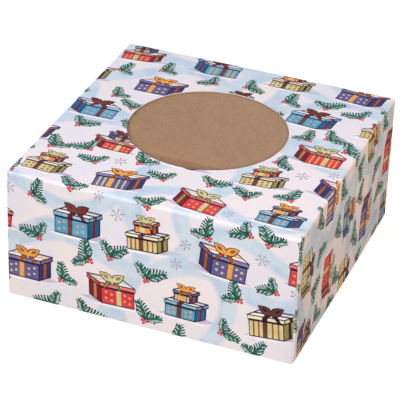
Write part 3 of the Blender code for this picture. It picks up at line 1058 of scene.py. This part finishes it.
side_leg = leg(-insert_front + CREASE_GAP, insert_back - CREASE_GAP, insert_side, leg_length)
end_leg = leg(-insert_side + CREASE_GAP, insert_side - CREASE_GAP, 0, leg_length)
insert_boards = {
    "insert_deck_card": oblong(-insert_side, insert_side, -insert_front, insert_back),
    "insert_right_card": side_leg,
    "insert_left_card": mirrored(side_leg),
    "insert_back_card": [1j * point.real + point.imag + 1j * insert_back for point in end_leg],
    "insert_front_card": [-1j * point.real + point.imag - 1j * insert_front for point in end_leg],
}
insert_middle = (insert_back - insert_front) / 2
quarter = (insert_side + INSERT_FOLD) / 2, (insert_front + insert_back + 2 * INSERT_FOLD) / 4
cup_holes = [disc(complex(across * quarter[0], insert_middle + along * quarter[1]),
                  HOLE_RADIUS, HOLE_CORNERS) for across in (-1, 1) for along in (-1, 1)]
insert_creases = []
for side in (-1, 1):
    insert_creases += rule(side * insert_side, INSERT_FOLD, side, -insert_front, insert_back, True)
insert_creases += rule(insert_back, INSERT_FOLD, 1, -insert_side, insert_side, False)
insert_creases += rule(-insert_front, INSERT_FOLD, -1, -insert_side, insert_side, False)
spots, cut_insert = cut_sheet(insert_boards, cup_holes, insert_creases, [], "card")
insert_card = kraft("bare kraft insert card", ("C79C73", "CDA47D"), "A2764F", "DDB98D")
for name, triangles in cut_insert.items():
    across = name in ("insert_right_card", "insert_left_card")
    piece = build_board(name, triangles, fold_insert_across if across else fold_insert_along,
                        skin={"card": insert_card})
    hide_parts(name.replace("_card", "_leg" if "deck" not in name else ""))
    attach(piece, "insert")

# %% [markdown]
# ## The stage
#
# A white sweep: pure white to the camera, with only the box's own soft shadow on it. It
# glows a little, more so farther off, and so it runs into the white room with no horizon.
# What the floor sends back onto the box is duller and a little warm, and a strip beside the
# right face sends back hardly any, as if a photographer had laid a dark brown card there.
# That is what darkens the foot of that face. The room is warmer on that side too, and a
# little blue on the other.

# %% Floor
FLOOR_HALF = 6.0
floor_material, tree, shader = new_material("white studio sweep")
spot = add_node(tree, "ShaderNodeTexCoord").outputs["Object"]
across = add_node(tree, "ShaderNodeSeparateXYZ", {0: spot})
inner = add_node(tree, "ShaderNodeMapRange", {"Value": across, "From Min": 0.07, "From Max": 0.09})
sent_back = overlay(tree, linear("A89682"), linear("2E2218"), across, 0.7, 0.3, inner)
plug(tree, shader, {"Base Color": sent_back, "Roughness": 0.9, "Specular IOR Level": 0.0})
distance = add_node(tree, "ShaderNodeVectorMath", {0: spot}, operation="LENGTH").outputs["Value"]
glow = add_node(tree, "ShaderNodeMapRange", {
    "Value": distance, "From Min": 0.25, "From Max": 1.2, "To Min": 0.42})
seen = add_node(tree, "ShaderNodeBsdfPrincipled", {
    "Base Color": linear("F2F2F2"), "Roughness": 0.9, "Specular IOR Level": 0.0,
    "Emission Color": (1, 1, 1, 1), "Emission Strength": glow})


def rays_that_see(tree):
    """1 for camera, glossy and transmission rays, and 0 for those that light the box."""
    path = add_node(tree, "ShaderNodeLightPath")
    some = add_node(tree, "ShaderNodeMath", {
        0: path.outputs["Is Camera Ray"], 1: path.outputs["Is Glossy Ray"]}, operation="ADD")
    return add_node(tree, "ShaderNodeMath", {
        0: some, 1: path.outputs["Is Transmission Ray"]}, operation="ADD", use_clamp=True)


mixed = add_node(tree, "ShaderNodeMixShader", {0: rays_that_see(tree), 1: shader, 2: seen})
output = next(node for node in tree.nodes if node.type == "OUTPUT_MATERIAL")
plug(tree, output, {"Surface": mixed})

bm = bmesh.new()
bmesh.ops.create_grid(bm, x_segments=2, y_segments=2, size=FLOOR_HALF)
finish_mesh(bm, "studio_floor", [floor_material])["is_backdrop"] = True

# %% The room round it
world = bpy.data.worlds.new("soft studio")
world.use_nodes = True
bpy.context.scene.world = world
tree = world.node_tree
tree.nodes.clear()
way = add_node(tree, "ShaderNodeSeparateXYZ", {
    0: add_node(tree, "ShaderNodeTexCoord").outputs["Generated"]})
room = overlay(tree, (0.14, 0.15, 0.175, 1.0), (0.24, 0.175, 0.115, 1.0), way, -0.3, 0.5)
soft = add_node(tree, "ShaderNodeBackground", {"Color": room})
white = add_node(tree, "ShaderNodeBackground", {"Color": (1, 1, 1, 1)})
mixed = add_node(tree, "ShaderNodeMixShader", {0: rays_that_see(tree), 1: soft, 2: white})
add_node(tree, "ShaderNodeOutputWorld", {"Surface": mixed})
print("stage set")

# %% [markdown]
# ## Light
#
# The main lamp is small and stands just behind the camera, in line with it. It lights the
# front and the top alike, and it looks in at the window as the camera does, so that the
# shadow of the window's rim hides behind the rim and the brown inside is evenly bright, as
# in the photograph. The right side only catches it aslant and falls into shade. Broad weak
# lamps on the left and overhead cool the top and the left side, a small warm card lifts
# the right side, and a lamp behind lights the back for other views.

# %% Lamps
def add_lamp(name, place, width, power, colour, target=(0, 0, 0.04)):
    """A round lamp `width` metres across, of `power` watts, that looks at `target`."""
    data = bpy.data.lights.new(name, "AREA")
    data.shape, data.size, data.energy, data.color = "DISK", width, power, colour
    lamp = bpy.data.objects.new(name, data)
    lamp.location = place
    lamp.rotation_euler = (Vector(target) - Vector(place)).to_track_quat("-Z", "Y").to_euler()
    bpy.context.scene.collection.objects.link(lamp)


add_lamp("key_softbox", (0.347, -0.943, 0.644), 0.04, 10.1, (1.0, 0.98, 0.965))
add_lamp("left_softbox", (-1.6, -0.9, 1.0), 0.9, 10.0, (0.88, 0.91, 1.0))
add_lamp("top_softbox", (-0.6, 0.25, 1.35), 0.9, 6.8, (0.92, 0.92, 1.0))
add_lamp("warm_card", (0.37, 0.02, 0.14), 0.2, 0.44, (1.0, 0.76, 0.58), (0.08, 0.02, 0.07))
add_lamp("back_softbox", (-1.35, 1.35, 0.42), 0.9, 10, (1.0, 0.98, 0.96))

# %% [markdown]
# ## Camera
#
# The camera stands where the photograph was taken from: 20 degrees to the right of the
# front, 31 degrees up, a little over a metre away, with a long lens and a slight roll.
# The numbers come from fitting the box's outline and its window to the photograph. The
# camera's own right, up and backward are the columns of its rotation.

# %% Camera
right = Vector((0.92985, 0.36646, 0.03298)).normalized()
forward = Vector((-0.29744, 0.80140, -0.51893)).normalized()
up = right.cross(forward)
turned = Matrix((right, up, -forward)).transposed().to_4x4()
camera_data = bpy.data.cameras.new("camera")
camera_data.lens = 178.56
camera_data.sensor_width = 36.0
camera_data.clip_start, camera_data.clip_end = 0.05, 50
camera = bpy.data.objects.new("camera", camera_data)
camera.matrix_world = Matrix.Translation((0.31737, -0.86323, 0.59183)) @ turned
bpy.context.scene.collection.objects.link(camera)
bpy.context.scene.camera = camera
bpy.context.scene.view_settings.view_transform = "Standard"

# %% Write the sizes and hand over
low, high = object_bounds()
print("visual box, mm:", [round(side * 1000, 2) for side in high - low])
{"cad": [list(cad_low), list(cad_high)], "visual": [list(low), list(high)]}
